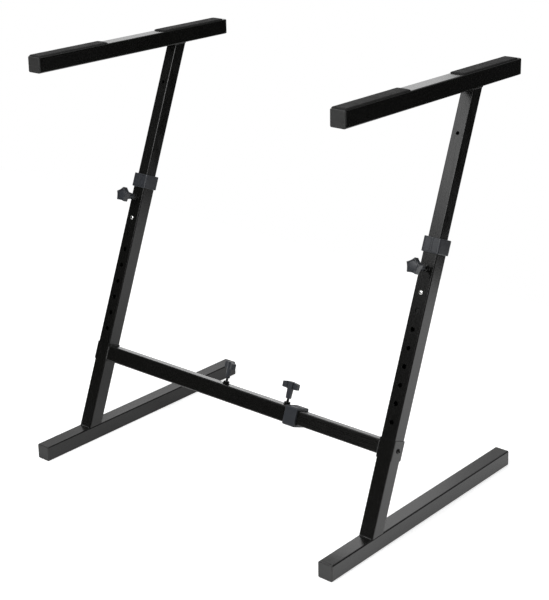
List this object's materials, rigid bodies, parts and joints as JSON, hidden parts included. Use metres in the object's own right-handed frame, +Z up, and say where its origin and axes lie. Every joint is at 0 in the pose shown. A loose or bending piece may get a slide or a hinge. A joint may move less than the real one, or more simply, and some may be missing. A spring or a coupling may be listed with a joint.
{
  "type": "keyboard stand",
  "caption": "Z-shaped stand of square steel tube with level feet, leaning telescopic legs, padded arms and a telescopic crossbar held by screw clamps.",
  "frame": {"origin": "on the floor, in the middle of the two feet's rectangle", "axes": "+X along the crossbar from the left frame to the right one, +Y from the player to the back, +Z up"},
  "size_m": [0.8716, 0.64, 0.9335],
  "materials": {
    "black_powder_coat": "satin",
    "painted_nut": "satin",
    "black_bolt": "black oxide",
    "bright_zinc": "zinc plated",
    "spring_steel": "blued",
    "grey_plastic": "fine grain",
    "black_plastic": "fine grain",
    "nylon": "smooth",
    "soft_pad": "matt foam rubber"
  },
  "bodies": {
    "left_frame": {"left_foot_tube": "black_powder_coat", "left_foot_front_cap": "black_plastic", "left_foot_rear_cap": "black_plastic", "left_leg_tube": "black_powder_coat", "left_collar": "grey_plastic", "left_height_nut": "painted_nut", "left_sleeve": "black_powder_coat", "left_sleeve_bolt": "black_bolt", "left_sleeve_nut": "painted_nut", "crossbar_outer_tube": "black_powder_coat", "crossbar_collar": "grey_plastic", "end_width_nut": "painted_nut", "middle_width_nut": "painted_nut"},
    "right_frame": {"right_foot_tube": "black_powder_coat", "right_foot_front_cap": "black_plastic", "right_foot_rear_cap": "black_plastic", "right_leg_tube": "black_powder_coat", "right_collar": "grey_plastic", "right_height_nut": "painted_nut", "right_sleeve": "black_powder_coat", "right_sleeve_bolt": "black_bolt", "right_sleeve_nut": "painted_nut", "crossbar_inner_tube": "black_powder_coat", "crossbar_inner_plug": "nylon"},
    "left_upper": {"left_inner_tube": "black_powder_coat", "left_inner_plug": "nylon", "left_arm_tube": "black_powder_coat", "left_arm_front_cap": "black_plastic", "left_arm_rear_cap": "black_plastic", "left_front_pad": "soft_pad", "left_rear_pad": "soft_pad", "left_button_spring": "spring_steel"},
    "left_button": {"left_snap_button": "bright_zinc"},
    "left_height_tip_body": {"left_height_tip": "nylon"},
    "left_height_clamp": {"left_height_screw": "black_bolt", "left_star_knob": "grey_plastic"},
    "right_upper": {"right_inner_tube": "black_powder_coat", "right_inner_plug": "nylon", "right_arm_tube": "black_powder_coat", "right_arm_front_cap": "black_plastic", "right_arm_rear_cap": "black_plastic", "right_front_pad": "soft_pad", "right_rear_pad": "soft_pad", "right_button_spring": "spring_steel"},
    "right_button": {"right_snap_button": "bright_zinc"},
    "right_height_tip_body": {"right_height_tip": "nylon"},
    "right_height_clamp": {"right_height_screw": "black_bolt", "right_star_knob": "grey_plastic"},
    "end_width_tip_body": {"end_width_tip": "nylon"},
    "end_width_clamp": {"end_width_screw": "black_bolt", "end_wing_knob": "grey_plastic"},
    "middle_width_tip_body": {"middle_width_tip": "nylon"},
    "middle_width_clamp": {"middle_width_screw": "black_bolt", "middle_wing_knob": "grey_plastic"}
  },
  "joints": [
    {"name": "width_slide", "type": "slide", "parent": "left_frame", "child": "right_frame", "axis": [1, 0, 0], "range_m": [-0.205, 0.11]},
    {"name": "left_height_slide", "type": "slide", "parent": "left_frame", "child": "left_upper", "axis": [0, 0.3616, 0.9323], "range_m": [-0.2667, 0], "deforming": ["left_snap_button"]},
    {"name": "left_button_press", "type": "slide", "parent": "left_upper", "child": "left_button", "axis": [0, 0.9323, -0.3616], "range_m": [0, 0.005], "stiffness_N_per_m": 1500, "springref_m": -0.002, "deforming": ["left_button_spring"]},
    {"name": "left_clamp_travel", "type": "slide", "parent": "left_frame", "child": "left_height_tip_body", "axis": [0, -0.9323, 0.3616], "range_m": [0, 0.0025]},
    {"name": "left_knob_turn", "type": "hinge", "parent": "left_height_tip_body", "child": "left_height_clamp", "pos_m": [-0.413, 0.01063, 0.55038], "axis": [0, -0.9323, 0.3616], "range_deg": [0, 720]},
    {"name": "right_height_slide", "type": "slide", "parent": "right_frame", "child": "right_upper", "axis": [0, 0.3616, 0.9323], "range_m": [-0.2667, 0], "deforming": ["right_snap_button"]},
    {"name": "right_button_press", "type": "slide", "parent": "right_upper", "child": "right_button", "axis": [0, 0.9323, -0.3616], "range_m": [0, 0.005], "stiffness_N_per_m": 1500, "springref_m": -0.002, "deforming": ["right_button_spring"]},
    {"name": "right_clamp_travel", "type": "slide", "parent": "right_frame", "child": "right_height_tip_body", "axis": [0, -0.9323, 0.3616], "range_m": [0, 0.0025]},
    {"name": "right_knob_turn", "type": "hinge", "parent": "right_height_tip_body", "child": "right_height_clamp", "pos_m": [0.413, 0.01063, 0.55038], "axis": [0, -0.9323, 0.3616], "range_deg": [0, 720]},
    {"name": "end_clamp_travel", "type": "slide", "parent": "left_frame", "child": "end_width_tip_body", "axis": [0, 0.3616, 0.9323], "range_m": [0, 0.002]},
    {"name": "end_knob_turn", "type": "hinge", "parent": "end_width_tip_body", "child": "end_width_clamp", "pos_m": [0.136, -0.10071, 0.21494], "axis": [0, 0.3616, 0.9323], "range_deg": [0, 720]},
    {"name": "middle_clamp_travel", "type": "slide", "parent": "left_frame", "child": "middle_width_tip_body", "axis": [0, 0.3616, 0.9323], "range_m": [0, 0.002]},
    {"name": "middle_knob_turn", "type": "hinge", "parent": "middle_width_tip_body", "child": "middle_width_clamp", "pos_m": [-0.039, -0.10071, 0.21494], "axis": [0, 0.3616, 0.9323], "range_deg": [0, 720]}
  ],
  "couplings": [
    {"joint": "left_knob_turn", "follows": "left_clamp_travel", "rad_per_m": 5026.5},
    {"joint": "right_knob_turn", "follows": "right_clamp_travel", "rad_per_m": 5026.5},
    {"joint": "end_knob_turn", "follows": "end_clamp_travel", "rad_per_m": 6283.2},
    {"joint": "middle_knob_turn", "follows": "middle_clamp_travel", "rad_per_m": 6283.2}
  ]
}
